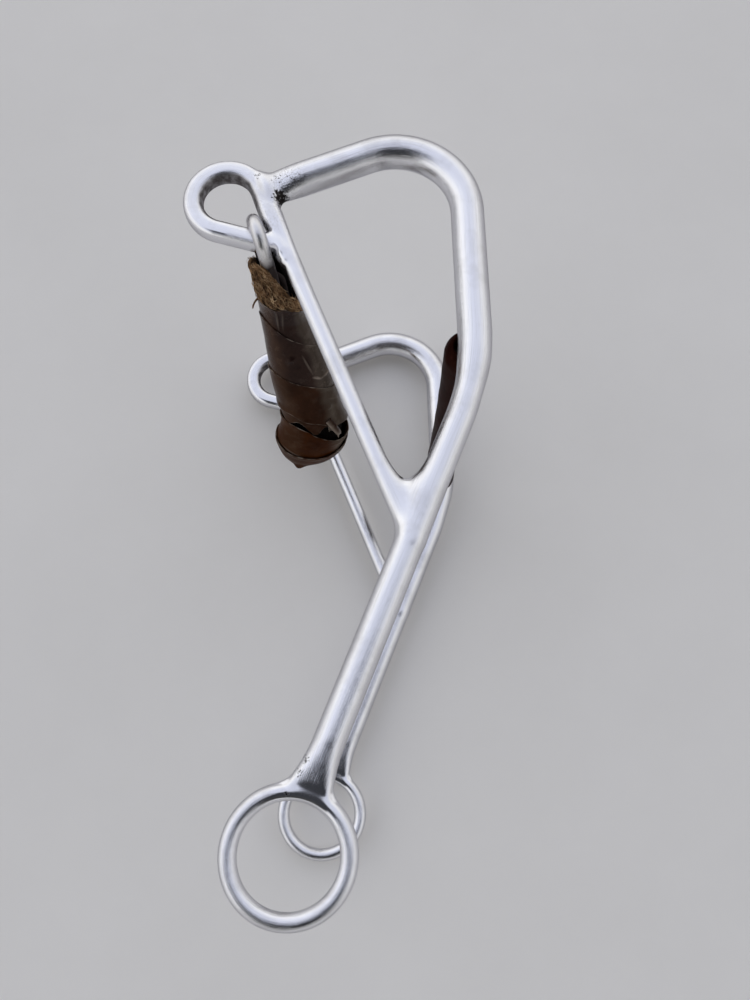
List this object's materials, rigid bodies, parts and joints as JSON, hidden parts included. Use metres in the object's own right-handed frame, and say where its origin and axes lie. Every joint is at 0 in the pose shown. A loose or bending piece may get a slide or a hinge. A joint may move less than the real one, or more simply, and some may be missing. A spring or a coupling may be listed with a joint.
{
  "type": "leverage bit",
  "caption": "Long-shanked leverage bit: bent and welded steel rod cheeks with rein rings, a mouthpiece in a dark moulded cover, and a curb chain in a felt sleeve wrapped with tape.",
  "frame": {"origin": "bottom centre of the whole part's box, with the bit lying on its left cheek", "axes": "+Y from the rein rings to the headstall bars, along the cheeks; +X from the curb to the mouthpiece; +Z from the left cheek to the right cheek, along the mouthpiece"},
  "size_m": [0.0932, 0.2268, 0.1501],
  "materials": {
    "steel": "polished rod with fine lengthwise scratches, pits and dark spots at the welds",
    "chain_steel": "worn bright wire",
    "hard_rubber": "dark red-brown, glossy",
    "felt": "matted brown fibres with a ragged edge",
    "tape": "dark brown-grey wrapping tape, wrinkled and torn near the fold"
  },
  "bodies": {
    "bit_frame": {"right_cheek_bar": "steel", "right_curb_limb": "steel", "right_rein_ring": "steel", "left_cheek_bar": "steel", "left_curb_limb": "steel", "left_rein_ring": "steel", "mouthpiece_bar": "steel", "mouthpiece_cover": "hard_rubber"},
    "right_link": {"right_end_link": "chain_steel"},
    "left_link": {"left_end_link": "chain_steel"},
    "curb": {"chain_link_1": "chain_steel", "chain_link_2": "chain_steel", "chain_link_3": "chain_steel", "chain_link_4": "chain_steel", "chain_link_5": "chain_steel", "chain_link_6": "chain_steel", "chain_link_7": "chain_steel", "chain_link_8": "chain_steel", "chain_link_9": "chain_steel", "felt_sleeve": "felt", "right_tape_wrap": "tape", "left_tape_wrap": "tape", "centre_tape_band": "tape"}
  },
  "joints": [
    {"name": "right_link_swing", "type": "hinge", "parent": "bit_frame", "child": "right_link", "pos_m": [-0.02435, 0.08065, 0.14267], "axis": [0, 0, 1], "range_deg": [-70, 4]},
    {"name": "left_link_swing", "type": "hinge", "parent": "bit_frame", "child": "left_link", "pos_m": [-0.02435, 0.08065, 0.00747], "axis": [0, 0, 1], "range_deg": [-70, 4]},
    {"name": "curb_fold", "type": "hinge", "parent": "right_link", "child": "curb", "pos_m": [-0.0208, 0.07022, 0.07507], "axis": [0, 0, 1], "range_deg": [-10, 20]}
  ],
  "couplings": [
    {"joint": "left_link_swing", "follows": "right_link_swing", "ratio": 1}
  ]
}
